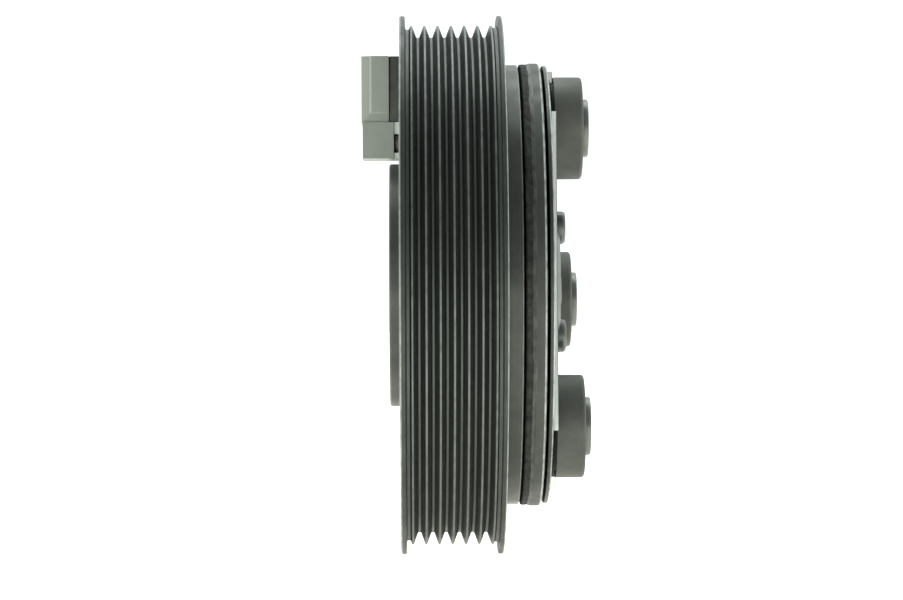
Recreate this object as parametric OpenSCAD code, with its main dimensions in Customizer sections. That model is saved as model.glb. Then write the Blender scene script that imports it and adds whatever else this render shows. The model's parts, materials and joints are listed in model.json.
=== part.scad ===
// Electromagnetic clutch for a belt-driven compressor: field coil, grooved pulley on a
// double-row ball bearing, and a rubber-damped hub that carries the armature plate.
// The spin axis is X and the front of the clutch points to +X. The origin is the centre
// of the coil mounting plate's rear seat face. All sizes are in millimetres.

/* [Pulley rim] */
// Number of V grooves in the rim
groove_count = 6; // [4:1:6]
// Distance between neighbouring grooves
rib_pitch = 3.56; // [3.52:0.02:3.6]
// Radius of the rib crests
crest_r = 69.9; // [69:0.1:71]
// Depth of the V grooves
groove_depth = 3.2; // [2.8:0.1:3.4]
// Half of the included angle of a groove
groove_half_angle = 20; // [18:1:21]
// Width of the flat on each rib crest
crest_w = 0.5; // [0.4:0.1:0.8]
// Radius of the two belt flanges
flange_r = 72.5; // [71.5:0.1:74]
// Rear face of the rim
rim_rear_x = 2.8; // [2.8:0.1:3.2]
// Front face of the rim
rim_front_x = 30.2; // [29.8:0.1:30.6]
// Position of the rearmost rib crest
first_crest_x = 6.0; // [5.9:0.1:6.2]
// Thickness of the rear belt flange
rear_flange_t = 1.5; // [1.2:0.1:1.7]
// Thickness of the front belt flange
front_flange_t = 1.25; // [1:0.05:1.4]
// Inside radius of the rim, over the open annular pocket
rim_in_r = 63.2; // [62:0.1:64]

/* [Rotor] */
// Outside radius of the rotor drum
drum_r = 59.3; // [58.8:0.1:59.8]
// Inside radius of the drum wall
drum_in_r = 54.8; // [54.5:0.1:55.5]
// Position of the friction face
friction_x = 34.4; // [34.2:0.1:34.4]
// Thickness of the friction wall
friction_wall = 4.0; // [3.5:0.1:4.5]
// Outside radius of the bearing wall
bearing_wall_r = 33.0; // [32:0.1:33.2]
// Number of flux slots in each ring of slots
slot_count = 6; // [4:1:8]
// Angle that each flux slot covers
slot_angle = 44; // [30:1:44]

/* [Bearing] */
// Bore radius of the bearing
bearing_bore_r = 17.5; // [17:0.1:17.6]
// Outside radius of the bearing
bearing_r = 27.5; // [27.4:0.1:27.6]
// Width of the bearing
bearing_w = 20; // [19.8:0.1:20]
// Rear face of the bearing
bearing_x = 9; // [8.9:0.1:9]
// Diameter of the balls
ball_d = 5.6; // [5.2:0.1:5.8]
// Number of balls in each row
ball_count = 16; // [12:1:17]

/* [Field coil] */
// Outside radius of the coil shell
shell_r = 54.0; // [53:0.1:54.1]
// Inside radius of the coil shell
shell_in_r = 34.2; // [34:0.1:35]
// Wall thickness of the coil shell
shell_wall = 2.8; // [2:0.1:3]
// Front rim of the coil shell
shell_front_x = 27.5; // [26:0.1:28]
// Wall thickness of the bobbin
bobbin_t = 1.2; // [0.8:0.1:1.4]

/* [Mounting plate] */
// Radius of the hole that fits over the compressor nose
seat_r = 24; // [22:0.1:25]
// Radius of the raised seat boss
boss_r = 32.7; // [31.5:0.1:33]
// Height of the seat boss
boss_h = 2.8; // [2.7:0.1:2.8]
// Radius of the plate
plate_r = 56; // [55:0.1:57]
// Thickness of the plate
plate_t = 1.8; // [1.6:0.1:1.8]

/* [Connector] */
// Width of the connector body, across the clutch axis
connector_w = 16; // [15:0.5:17]
// Top of the connector mouth
mouth_z = 61.4; // [60:0.1:61.4]
// Height where the shroud meets the lower block
block_top_z = 43.7; // [43:0.1:45]
// Bottom of the lower block
block_low_z = 33.9; // [33.9:0.1:35]
// Rear face of the shroud
shroud_x = -7.4; // [-8:0.1:-7]
// Wall thickness of the shroud
shroud_wall = 1.1; // [0.9:0.1:1.2]

/* [Armature] */
// Outside radius of the armature plate
armature_r = 59.7; // [59:0.1:60]
// Inside radius of the armature plate
armature_in_r = 31; // [30:0.5:33]
// Thickness of the armature plate
armature_t = 5.4; // [5:0.1:5.4]
// Air gap between the friction face and the armature at rest
air_gap = 0.5; // [0.4:0.05:0.5]

/* [Hub] */
// Radius of the shaft bore
shaft_r = 7; // [6.5:0.1:7.5]
// Radius of the flange in front of the spider plate
hub_flange_r = 21.5; // [21.4:0.1:22.5]
// Radius of the thin outer disc
disc_r = 59; // [58:0.1:59.5]
// Thickness of the outer disc
disc_t = 1.2; // [1:0.1:1.2]
// Thickness of the stiffening spider plate
spider_t = 1.4; // [1.2:0.1:1.4]
// Distance from the axis to the spider plate's three flats
spider_flat = 40.5; // [39:0.1:41]

/* [Dampers] */
// Radius of the circle that the dampers stand on
cup_pitch_r = 45.5; // [45:0.1:46]
// Turn of the first damper from straight up, towards the left side
first_cup_angle = 25; // [15:1:35]
// Radius of a damper cup
cup_r = 13.5; // [13:0.1:13.6]
// Wall thickness of a cup
cup_wall = 1.5; // [1.3:0.1:1.6]
// Height of a cup
cup_h = 7.6; // [7:0.1:8]
// Radius of a damper pin's shank
pin_r = 4; // [3.5:0.1:4.2]
// Radius of a damper pin's head
pin_head_r = 7.65; // [7:0.05:8]
// Height of a damper pin's head
pin_head_h = 1.7; // [1.5:0.1:2]

/* [Hidden] */
$fn = 128;

// Small overshoot of a cutting shape past the face that it opens
cut = 1;
// Edge break of turned corners
edge = 0.4;

// Pulley rim
valley_r = crest_r - groove_depth;
last_crest_x = first_crest_x + groove_count * rib_pitch;
valley_round = (rib_pitch / 2 - crest_w / 2 - groove_depth * tan(groove_half_angle))
    / (cos(groove_half_angle) - (1 - sin(groove_half_angle)) * tan(groove_half_angle));
rear_shoulder_drop = 1.0;
front_shoulder_drop = 0.6;
shoulder_slope = 0.3;
rim_web_x = 25.2;
rim_web_t = 4.0;

// Rotor
drum_rear_x = 5.4;
bearing_wall_x = 5.5;
friction_wall_x = friction_x - friction_wall;
friction_in_r = 31;
face_relief = 1.4;
lip_in_r = 24.5;
lip_t = 2;
slot_w = 2.5;
outer_slot_r = 49.5;
inner_slot_r = 38.5;
friction_ring_r = 47.5;
friction_ring_in_r = 43;
friction_ring_t = 1.2;

// Bearing
bearing_front_x = bearing_x + bearing_w;
ball_pitch_r = (bearing_bore_r + bearing_r) / 2;
ball_play = 0.05;
land_gap = 2.2;
row_x = [bearing_x + 5.5, bearing_front_x - 5.5];
cage_t = 1.8;
cage_half_w = 3.4;
seal_t = 0.8;
seal_inset = 0.3;
seal_play = 0.15;
snap_t = 1.4;
snap_in_r = 25.8;
snap_seat_r = bearing_r + 1.2;
snap_play = 0.1;
snap_gap_angle = 24;
snap_eye_angle = 15;
snap_eye_r = 2.2;
snap_eye_hole_r = 1.1;

// Field coil
plate_front_x = boss_h + plate_t;
shell_floor_x = plate_front_x + shell_wall + 0.2;
winding_in_r = shell_in_r + shell_wall + bobbin_t;
coil_r = shell_r - shell_wall;
bobbin_front_x = shell_front_x - 1.7;
potting_t = 1.4;
rivet_count = 6;
rivet_pitch_r = 45;
rivet_r = 2;
rivet_head_r = 3.2;
rivet_head_t = 1.0;
locating_hole_r = 2.1;
locating_hole_depth = 3.6;
locating_pitch_r = 28.4;

// Connector
bracket_t = boss_h;
block_rear_x = shroud_x + 0.3;
block_front_x = 1.3;
block_w = connector_w + 1;
foot_w = block_w - 0.5;
grommet_notch_r = 2.8;
socket_floor_z = block_top_z + 3.3;
panel_side_x = -5.2;
panel_low_z = 45.9;
panel_rise = 0.8;
blade_w = 2.8;
blade_t = 0.8;
blade_top_z = 56.4;
blade_low_z = block_low_z + 2.5;
blade_offset_y = 3.4;
blade_x = shroud_x / 2;
lead_y = -5.6;
lead_z = 38.0;
lead_r = 0.6;
lead_spacing = 2.2;
grommet_r = 2.45;
grommet_dome = 1.2;

// Armature
armature_rear_x = friction_x + air_gap;
armature_front_x = armature_rear_x + armature_t;
armature_round = 0.9;
armature_slot_in_r = 43;
armature_slot_w = 2.5;
armature_slot_angle = 78;

// Hub
hub_rear_x = 31;
hub_sleeve_r = 13;
disc_x = 41;
disc_front_x = disc_x + disc_t;
spider_front_x = disc_front_x + spider_t;
hub_chamfer_x = spider_front_x + 0.8;
hub_chamfer_r = hub_flange_r - 4;
hub_front_x = spider_front_x + 1.9;
bolt_recess_r = 8.5;
key_w = 3;
key_depth = 1.3;
shim_t = 0.4;
shim_in_r = shaft_r + 0.2;
shim_r = 11;
spider_r = 58;
spider_notch_r = cup_r + 0.8;
spider_notch_half_angle = 53.6;
hub_rivet_pitch_r = 16.8;
hub_rivet_r = 2.6;
hub_rivet_head_r = 4.4;
hub_rivet_head_h = 2.3;
hub_rivet_play = 0.1;
hub_rivet_tail_r = 3.6;
hub_rivet_tail_t = 1.2;

// Dampers
cup_count = 3;
cup_angles = [for (i = [0:cup_count - 1]) first_cup_angle + i * 360 / cup_count];
cup_rim_x = disc_front_x + 1.1;
cup_end_x = cup_rim_x + cup_h;
cup_floor_x = cup_end_x - cup_wall;
cup_round = 0.8;
pin_hole_r = 6.2;
pin_tail_r = 5.4;
pin_tail_t = 1.4;
rubber_gap = 0.2;
rubber_hole_r = pin_r + 0.4;
rubber_r = cup_r - cup_wall - rubber_gap;
rubber_lip_r = cup_r - 0.8;
rubber_lip_t = 0.35;
rubber_base_h = 0.9;

// A profile drawn as [radius, axial position], turned round the spin axis.
module turned() {
    rotate([0, 90, 0])
        rotate_extrude()
            children();
}

// A round bar along the spin axis, from x0 to x1.
module rod(r, x0, x1) {
    translate([x0, 0, 0])
        rotate([0, 90, 0])
            cylinder(r = r, h = x1 - x0);
}

// A plain ring round the spin axis, from x0 to x1.
module ring(r_in, r_out, x0, x1) {
    difference() {
        rod(r_out, x0, x1);
        rod(r_in, x0 - cut, x1 + cut);
    }
}

// A part of a ring, centred on straight up.
module ring_sector(r_in, r_out, x0, x1, span) {
    rotate([0, 90, 0])
        rotate([0, 0, 180 - span / 2])
            rotate_extrude(angle = span)
                translate([r_in, x0])
                    square([r_out - r_in, x1 - x0]);
}

// Places a child at a radius, turned round the spin axis from straight up.
module around(angle, r) {
    rotate([angle, 0, 0])
        translate([0, 0, r])
            children();
}

// A box from its lowest corner to its highest corner.
module block(low, high) {
    translate(low)
        cube(high - low);
}

// Shape used to cut a double row of raceways.
module raceways() {
    for (x = row_x)
        turned()
            translate([ball_pitch_r, x])
                circle(r = ball_d / 2 + ball_play, $fn = 48);
}

module mounting_plate() {
    color("dimgray")
        difference() {
            turned()
                polygon([
                    [seat_r, 0],
                    [boss_r - edge, 0],
                    [boss_r, edge],
                    [boss_r, boss_h],
                    [plate_r, boss_h],
                    [plate_r, plate_front_x],
                    [seat_r, plate_front_x]
                ]);
            around(180, locating_pitch_r)
                rod(locating_hole_r, -cut, locating_hole_depth);
            for (i = [0:rivet_count - 1])
                around((i + 0.5) * 360 / rivet_count, rivet_pitch_r)
                    plate_rivet(cut);
            grommet_place()
                rod(grommet_r, boss_h - cut, plate_front_x + cut);
        }
}

// One flush rivet. The extra length lets the same shape cut its own hole.
module plate_rivet(extra) {
    rod(rivet_r, boss_h, shell_floor_x + extra);
    rod(rivet_head_r, boss_h - extra, boss_h + rivet_head_t);
}

module plate_rivets() {
    color("silver")
        for (i = [0:rivet_count - 1])
            around((i + 0.5) * 360 / rivet_count, rivet_pitch_r)
                plate_rivet(0);
}

module coil_shell() {
    color("slategray")
        difference() {
            turned()
                polygon([
                    [shell_in_r, plate_front_x],
                    [shell_r - edge, plate_front_x],
                    [shell_r, plate_front_x + edge],
                    [shell_r, shell_front_x],
                    [coil_r, shell_front_x],
                    [coil_r, shell_floor_x],
                    [shell_in_r + shell_wall, shell_floor_x],
                    [shell_in_r + shell_wall, shell_front_x],
                    [shell_in_r, shell_front_x]
                ]);
            for (i = [0:rivet_count - 1])
                around((i + 0.5) * 360 / rivet_count, rivet_pitch_r)
                    rod(rivet_r, plate_front_x - cut, shell_floor_x + cut);
            grommet_place()
                rod(grommet_r, plate_front_x - cut, shell_floor_x + cut);
        }
}

module coil_bobbin() {
    color("ivory")
        difference() {
            turned()
                polygon([
                    [winding_in_r - bobbin_t, shell_floor_x],
                    [coil_r, shell_floor_x],
                    [coil_r, shell_floor_x + bobbin_t],
                    [winding_in_r, shell_floor_x + bobbin_t],
                    [winding_in_r, bobbin_front_x - bobbin_t],
                    [coil_r, bobbin_front_x - bobbin_t],
                    [coil_r, bobbin_front_x],
                    [winding_in_r - bobbin_t, bobbin_front_x]
                ]);
            lead_places()
                rod(lead_r, shell_floor_x - cut, shell_floor_x + bobbin_t + cut);
        }
}

module coil_winding() {
    color("peru")
        ring(winding_in_r, coil_r - bobbin_t / 2, shell_floor_x + bobbin_t, bobbin_front_x - bobbin_t);
}

module coil_potting() {
    color("black")
        ring(winding_in_r - bobbin_t, coil_r, bobbin_front_x, bobbin_front_x + potting_t);
}

// Centre line of the grommet that the coil leads pass through.
module grommet_place() {
    translate([0, lead_y, lead_z])
        children();
}

// Centre lines of the two coil leads.
module lead_places() {
    for (side = [-1, 1])
        translate([0, lead_y + side * lead_spacing / 2, lead_z])
            children();
}

module lead_grommet() {
    color("black")
        difference() {
            grommet_place()
                turned()
                    polygon([
                        [0, shell_floor_x],
                        [0, block_front_x],
                        for (t = [0.4:0.2:1])
                            [grommet_r * sin(90 * t), block_front_x + grommet_dome * (1 - cos(90 * t))],
                        [grommet_r, shell_floor_x]
                    ]);
            lead_places()
                rod(lead_r, 0, shell_floor_x + cut);
        }
}

module lead_wires() {
    color("black")
        lead_places()
            rod(lead_r, -2, shell_floor_x + bobbin_t);
}

module connector_bracket() {
    color("dimgray")
        block([0, -connector_w / 2 + edge, block_top_z], [bracket_t, connector_w / 2 - edge, mouth_z]);
}

module connector_housing() {
    color("lightgray")
        difference() {
            union() {
                block([block_rear_x, -block_w / 2, block_low_z],
                    [block_front_x, block_w / 2, block_top_z]);
                block([block_front_x - cut, block_w / 2 - foot_w, block_low_z],
                    [boss_h, block_w / 2, block_top_z]);
                block([shroud_x, -connector_w / 2, block_top_z], [0, connector_w / 2, mouth_z]);
                block([panel_side_x, -connector_w / 2 - panel_rise, panel_low_z], [0, 0, mouth_z]);
                block([panel_side_x, 0, panel_low_z], [0, connector_w / 2 + panel_rise, mouth_z]);
            }
            block([shroud_x + shroud_wall, -connector_w / 2 + shroud_wall, socket_floor_z],
                [-shroud_wall, connector_w / 2 - shroud_wall, mouth_z + cut]);
            grommet_place() {
                rod(grommet_notch_r, block_front_x, boss_h + cut);
                block([block_front_x, -block_w / 2, -grommet_notch_r], [boss_h + cut, 0, grommet_notch_r]);
            }
            for (side = [-1, 1])
                blade(side);
            lead_places()
                rod(lead_r, -2, block_front_x + cut);
        }
}

// One flat blade of the connector, on the side given as -1 or 1.
module blade(side) {
    y = side * blade_offset_y;
    block([blade_x - blade_t / 2, y - blade_w / 2, blade_low_z],
        [blade_x + blade_t / 2, y + blade_w / 2, blade_top_z]);
}

module connector_terminals() {
    color("gold")
        for (side = [-1, 1])
            blade(side);
}

module bearing_inner_ring() {
    land_r = ball_pitch_r - land_gap;
    color("lightsteelblue")
        difference() {
            turned()
                polygon([
                    [bearing_bore_r + edge, bearing_x],
                    [land_r - edge, bearing_x],
                    [land_r, bearing_x + edge],
                    [land_r, bearing_front_x - edge],
                    [land_r - edge, bearing_front_x],
                    [bearing_bore_r + edge, bearing_front_x],
                    [bearing_bore_r, bearing_front_x - edge],
                    [bearing_bore_r, bearing_x + edge]
                ]);
            raceways();
        }
}

module bearing_outer_ring() {
    land_r = ball_pitch_r + land_gap;
    color("lightsteelblue")
        difference() {
            turned()
                polygon([
                    [land_r, bearing_x],
                    [bearing_r - edge, bearing_x],
                    [bearing_r, bearing_x + edge],
                    [bearing_r, bearing_front_x - edge],
                    [bearing_r - edge, bearing_front_x],
                    [land_r, bearing_front_x]
                ]);
            raceways();
        }
}

// One row of balls, as separate solids.
module ball_row(x) {
    color("silver")
        for (i = [0:ball_count - 1])
            around(i * 360 / ball_count, ball_pitch_r)
                translate([x, 0, 0])
                    sphere(d = ball_d, $fn = 48);
}

module balls_rear() {
    ball_row(row_x[0]);
}

module balls_front() {
    ball_row(row_x[1]);
}

// The ring that keeps one row of balls apart.
module ball_cage(x) {
    color("saddlebrown")
        difference() {
            ring(ball_pitch_r - cage_t / 2, ball_pitch_r + cage_t / 2, x - cage_half_w, x + cage_half_w);
            for (i = [0:ball_count - 1])
                around(i * 360 / ball_count, ball_pitch_r)
                    translate([x, 0, 0])
                        sphere(d = ball_d + 2 * ball_play, $fn = 48);
        }
}

module cage_rear() {
    ball_cage(row_x[0]);
}

module cage_front() {
    ball_cage(row_x[1]);
}

// A lip seal fixed in the outer ring, with its rear face at x.
module bearing_seal(x) {
    color("sienna")
        ring(ball_pitch_r - land_gap + seal_play, ball_pitch_r + land_gap, x, x + seal_t);
}

module bearing_seal_rear() {
    bearing_seal(bearing_x + seal_inset);
}

module bearing_seal_front() {
    bearing_seal(bearing_front_x - seal_inset - seal_t);
}

// The two eyes of the snap ring, as circles of radius r on either side of its gap.
module snap_eyes(r) {
    for (side = [-1, 1])
        rotate(side * snap_eye_angle)
            translate([snap_in_r, 0])
                circle(r = r);
}

module bearing_snap_ring() {
    gap_y = snap_seat_r * tan(snap_gap_angle / 2);
    color("darkgray")
        translate([bearing_x - snap_t, 0, 0])
            rotate([0, 90, 0])
                linear_extrude(snap_t)
                    difference() {
                        union() {
                            difference() {
                                circle(r = snap_seat_r - snap_play);
                                circle(r = snap_in_r);
                                polygon([[0, 0], [snap_seat_r, gap_y], [snap_seat_r, -gap_y]]);
                            }
                            snap_eyes(snap_eye_r);
                        }
                        snap_eyes(snap_eye_hole_r);
                    }
}

module rotor_body() {
    color("slategray")
        difference() {
            turned()
                polygon([
                    [bearing_r + edge, bearing_wall_x],
                    [bearing_wall_r, bearing_wall_x],
                    [bearing_wall_r, friction_wall_x],
                    [drum_in_r, friction_wall_x],
                    [drum_in_r, drum_rear_x],
                    [drum_r, drum_rear_x],
                    [drum_r, friction_x - edge],
                    [drum_r - edge, friction_x],
                    [friction_ring_r, friction_x],
                    [friction_ring_r, friction_x - friction_ring_t],
                    [friction_ring_in_r, friction_x - friction_ring_t],
                    [friction_ring_in_r, friction_x],
                    [friction_in_r, friction_x],
                    [friction_in_r, friction_x - face_relief],
                    [lip_in_r, bearing_front_x + lip_t],
                    [lip_in_r, bearing_front_x],
                    [bearing_r, bearing_front_x],
                    [bearing_r, bearing_x + snap_play],
                    [snap_seat_r, bearing_x + snap_play],
                    [snap_seat_r, bearing_x - snap_t - snap_play],
                    [bearing_r, bearing_x - snap_t - snap_play],
                    [bearing_r, bearing_wall_x + edge]
                ]);
            for (i = [0:slot_count - 1]) {
                rotate([i * 360 / slot_count, 0, 0])
                    ring_sector(outer_slot_r, outer_slot_r + slot_w, friction_wall_x - cut, friction_x + cut,
                        slot_angle);
                rotate([(i + 0.5) * 360 / slot_count, 0, 0])
                    ring_sector(inner_slot_r, inner_slot_r + slot_w, friction_wall_x - cut, friction_x + cut,
                        slot_angle);
            }
        }
}

module friction_ring() {
    color("darkkhaki")
        ring(friction_ring_in_r, friction_ring_r, friction_x - friction_ring_t, friction_x);
}

// Outline of one groove, from its rear edge to its front edge.
function groove(x) = [
    [crest_r, x - rib_pitch / 2 + crest_w / 2],
    for (t = [-1:0.5:1])
        let (a = t * (90 - groove_half_angle))
            [valley_r + valley_round * (1 - cos(a)), x + valley_round * sin(a)],
    [crest_r, x + rib_pitch / 2 - crest_w / 2]
];

module pulley_rim() {
    rear_x = rim_rear_x + rear_flange_t;
    front_x = rim_front_x - front_flange_t;
    color("dimgray")
        turned()
            polygon(concat(
                [
                    [rim_in_r, rim_rear_x],
                    [flange_r - edge, rim_rear_x],
                    [flange_r, rim_rear_x + edge],
                    [flange_r, rear_x - edge / 2],
                    [crest_r - rear_shoulder_drop, rear_x + shoulder_slope / 2],
                    [crest_r - rear_shoulder_drop, first_crest_x - crest_w / 2 - shoulder_slope],
                    [crest_r, first_crest_x - crest_w / 2]
                ],
                [for (i = [0:groove_count - 1]) each groove(first_crest_x + (i + 0.5) * rib_pitch)],
                [
                    [crest_r, last_crest_x + crest_w / 2],
                    [crest_r - front_shoulder_drop, last_crest_x + crest_w / 2 + shoulder_slope],
                    [crest_r - front_shoulder_drop, front_x - shoulder_slope / 2],
                    [flange_r, front_x + edge / 2],
                    [flange_r, rim_front_x - edge],
                    [flange_r - edge, rim_front_x],
                    [rim_in_r, rim_front_x],
                    [rim_in_r - edge, rim_web_x + rim_web_t],
                    [drum_r, rim_web_x + rim_web_t],
                    [drum_r, rim_web_x],
                    [rim_in_r, rim_web_x]
                ]
            ));
}

module armature_plate() {
    color("gray")
        difference() {
            turned()
                polygon([
                    [armature_in_r, armature_rear_x],
                    [armature_r, armature_rear_x],
                    for (t = [0:0.25:1])
                        [armature_r - armature_round * (1 - cos(90 * t)),
                            armature_front_x - armature_round * (1 - sin(90 * t))],
                    [armature_in_r, armature_front_x]
                ]);
            for (angle = cup_angles) {
                around(angle, cup_pitch_r) {
                    rod(pin_r, armature_rear_x - cut, armature_front_x + cut);
                    rod(pin_tail_r, armature_rear_x - cut, armature_rear_x + pin_tail_t);
                }
                rotate([angle + 180 / cup_count, 0, 0])
                    ring_sector(armature_slot_in_r, armature_slot_in_r + armature_slot_w,
                        armature_rear_x - cut, armature_front_x + cut, armature_slot_angle);
            }
        }
}

module hub() {
    color("darkgray")
        difference() {
            turned()
                polygon([
                    [shaft_r, hub_rear_x],
                    [hub_sleeve_r - edge, hub_rear_x],
                    [hub_sleeve_r, hub_rear_x + edge],
                    [hub_sleeve_r, spider_front_x],
                    [hub_flange_r, spider_front_x],
                    [hub_flange_r, hub_chamfer_x],
                    [hub_chamfer_r, hub_front_x],
                    [bolt_recess_r, hub_front_x],
                    [bolt_recess_r, disc_x],
                    [shaft_r, disc_x]
                ]);
            block([hub_rear_x - cut, -key_w / 2, 0], [disc_x + cut, key_w / 2, shaft_r + key_depth]);
            for (angle = cup_angles)
                around(angle, hub_rivet_pitch_r) {
                    rod(hub_rivet_r, spider_front_x - cut, hub_chamfer_x + cut);
                    rod(hub_rivet_head_r + hub_rivet_play, hub_chamfer_x, hub_front_x + cut);
                }
        }
}

module shims() {
    color("goldenrod")
        for (i = [0:1])
            ring(shim_in_r, shim_r, hub_rear_x - (i + 1) * shim_t, hub_rear_x - i * shim_t);
}

module hub_rivets() {
    head_x = hub_chamfer_x + hub_rivet_head_h;
    color("darkslategray")
        for (angle = cup_angles)
            around(angle, hub_rivet_pitch_r)
                turned()
                    polygon([
                        [0, disc_x - hub_rivet_tail_t],
                        [hub_rivet_tail_r, disc_x - hub_rivet_tail_t],
                        [hub_rivet_tail_r, disc_x],
                        [hub_rivet_r, disc_x],
                        [hub_rivet_r, hub_chamfer_x],
                        [hub_rivet_head_r, hub_chamfer_x],
                        for (t = [0:0.25:1])
                            [hub_rivet_head_r - (1 - cos(90 * t)), head_x - 1 + sin(90 * t)],
                        [0, head_x]
                    ]);
}

module hub_disc() {
    color("gray")
        difference() {
            turned()
                polygon([
                    [hub_sleeve_r, disc_x],
                    [disc_r - edge / 2, disc_x],
                    [disc_r, disc_x + edge / 2],
                    [disc_r, disc_front_x - edge / 2],
                    [disc_r - edge / 2, disc_front_x],
                    [hub_sleeve_r, disc_front_x]
                ]);
            for (angle = cup_angles) {
                around(angle, hub_rivet_pitch_r)
                    rod(hub_rivet_r, disc_x - cut, disc_front_x + cut);
                around(angle, cup_pitch_r)
                    rod(pin_hole_r, disc_x - cut, disc_front_x + cut);
            }
        }
}

module spider_plate() {
    reach = 2 * spider_r;
    side_y = reach * sin(spider_notch_half_angle);
    side_z = reach * cos(spider_notch_half_angle);
    color("silver")
        difference() {
            rod(spider_r, disc_front_x, spider_front_x);
            rod(hub_sleeve_r, disc_front_x - cut, spider_front_x + cut);
            for (angle = cup_angles) {
                rotate([angle + 180 / cup_count, 0, 0])
                    block([disc_front_x - cut, -reach, spider_flat], [spider_front_x + cut, reach, reach]);
                around(angle, hub_rivet_pitch_r)
                    rod(hub_rivet_r, disc_front_x - cut, spider_front_x + cut);
                around(angle, cup_pitch_r) {
                    rod(spider_notch_r, disc_front_x - cut, spider_front_x + cut);
                    rotate([90, 0, 90])
                        translate([0, 0, disc_front_x - cut])
                            linear_extrude(spider_t + 2 * cut)
                                polygon([[0, 0], [side_y, side_z], [-side_y, side_z]]);
                }
            }
        }
}

// One rubber ring, which pushes its cup away from the disc.
module damper_rubber(i) {
    color("black")
        around(cup_angles[i], cup_pitch_r)
            turned()
                polygon([
                    [rubber_hole_r, disc_front_x],
                    [rubber_lip_r, disc_front_x],
                    [rubber_lip_r, disc_front_x + rubber_lip_t],
                    [rubber_r, disc_front_x + rubber_base_h],
                    [rubber_r, cup_floor_x - cup_round],
                    [rubber_r - cup_round, cup_floor_x],
                    [rubber_hole_r, cup_floor_x]
                ]);
}

module damper_rubber_1() {
    damper_rubber(0);
}

module damper_rubber_2() {
    damper_rubber(1);
}

module damper_rubber_3() {
    damper_rubber(2);
}

// One pressed steel cup, open towards the disc.
module damper_cup(i) {
    color("dimgray")
        around(cup_angles[i], cup_pitch_r)
            turned()
                polygon([
                    [cup_r - cup_wall, cup_rim_x],
                    [cup_r, cup_rim_x],
                    for (t = [0:0.25:1])
                        [cup_r - cup_round * (1 - cos(90 * t)), cup_end_x - cup_round * (1 - sin(90 * t))],
                    [pin_r, cup_end_x],
                    [pin_r, cup_floor_x],
                    [cup_r - cup_wall, cup_floor_x]
                ]);
}

module damper_cup_1() {
    damper_cup(0);
}

module damper_cup_2() {
    damper_cup(1);
}

module damper_cup_3() {
    damper_cup(2);
}

// One stepped pin, riveted into the armature and headed over its cup.
module damper_pin(i) {
    head_x = cup_end_x + pin_head_h;
    color("dimgray")
        around(cup_angles[i], cup_pitch_r)
            turned()
                polygon([
                    [0, armature_rear_x],
                    [pin_tail_r, armature_rear_x],
                    [pin_tail_r, armature_rear_x + pin_tail_t],
                    [pin_r, armature_rear_x + pin_tail_t],
                    [pin_r, cup_end_x],
                    [pin_head_r, cup_end_x],
                    [pin_head_r, head_x - edge],
                    [pin_head_r - edge, head_x],
                    [0, head_x]
                ]);
}

module damper_pin_1() {
    damper_pin(0);
}

module damper_pin_2() {
    damper_pin(1);
}

module damper_pin_3() {
    damper_pin(2);
}

mounting_plate();
coil_shell();
coil_bobbin();
coil_winding();
coil_potting();
plate_rivets();
connector_bracket();
connector_housing();
connector_terminals();
lead_grommet();
lead_wires();
bearing_inner_ring();
bearing_outer_ring();
balls_rear();
balls_front();
cage_rear();
cage_front();
bearing_seal_rear();
bearing_seal_front();
bearing_snap_ring();
rotor_body();
friction_ring();
pulley_rim();
armature_plate();
hub();
shims();
hub_disc();
spider_plate();
hub_rivets();
damper_rubber_1();
damper_rubber_2();
damper_rubber_3();
damper_cup_1();
damper_cup_2();
damper_cup_3();
damper_pin_1();
damper_pin_2();
damper_pin_3();
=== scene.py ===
import json
import math

import bmesh
import bpy
from mathutils import Matrix, Vector, noise

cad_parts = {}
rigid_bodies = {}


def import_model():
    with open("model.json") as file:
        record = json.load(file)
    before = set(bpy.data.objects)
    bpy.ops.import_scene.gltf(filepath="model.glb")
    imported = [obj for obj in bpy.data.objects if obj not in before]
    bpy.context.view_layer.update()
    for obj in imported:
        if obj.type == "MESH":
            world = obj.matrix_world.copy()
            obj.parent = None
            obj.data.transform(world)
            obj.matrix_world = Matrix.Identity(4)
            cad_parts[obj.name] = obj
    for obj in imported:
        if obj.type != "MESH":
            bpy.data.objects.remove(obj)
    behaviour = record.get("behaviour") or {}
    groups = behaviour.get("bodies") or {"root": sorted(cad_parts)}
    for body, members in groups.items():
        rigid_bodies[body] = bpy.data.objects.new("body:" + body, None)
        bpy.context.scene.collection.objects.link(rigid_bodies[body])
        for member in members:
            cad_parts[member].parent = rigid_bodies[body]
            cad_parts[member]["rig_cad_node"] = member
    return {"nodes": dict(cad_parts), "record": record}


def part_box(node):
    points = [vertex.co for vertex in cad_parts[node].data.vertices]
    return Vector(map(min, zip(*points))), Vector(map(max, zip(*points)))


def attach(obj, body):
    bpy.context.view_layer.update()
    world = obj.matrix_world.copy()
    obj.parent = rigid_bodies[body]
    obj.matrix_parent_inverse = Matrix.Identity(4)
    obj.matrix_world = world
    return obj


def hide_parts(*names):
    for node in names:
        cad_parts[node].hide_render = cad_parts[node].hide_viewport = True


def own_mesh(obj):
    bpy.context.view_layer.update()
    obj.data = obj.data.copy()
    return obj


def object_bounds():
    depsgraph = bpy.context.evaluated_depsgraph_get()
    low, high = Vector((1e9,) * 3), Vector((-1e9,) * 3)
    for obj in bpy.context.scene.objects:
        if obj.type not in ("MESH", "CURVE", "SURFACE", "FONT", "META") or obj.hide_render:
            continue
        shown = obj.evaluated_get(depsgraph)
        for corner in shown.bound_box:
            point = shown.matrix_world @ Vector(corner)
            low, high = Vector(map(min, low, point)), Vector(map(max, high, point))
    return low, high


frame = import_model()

cad_low, cad_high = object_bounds()

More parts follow.
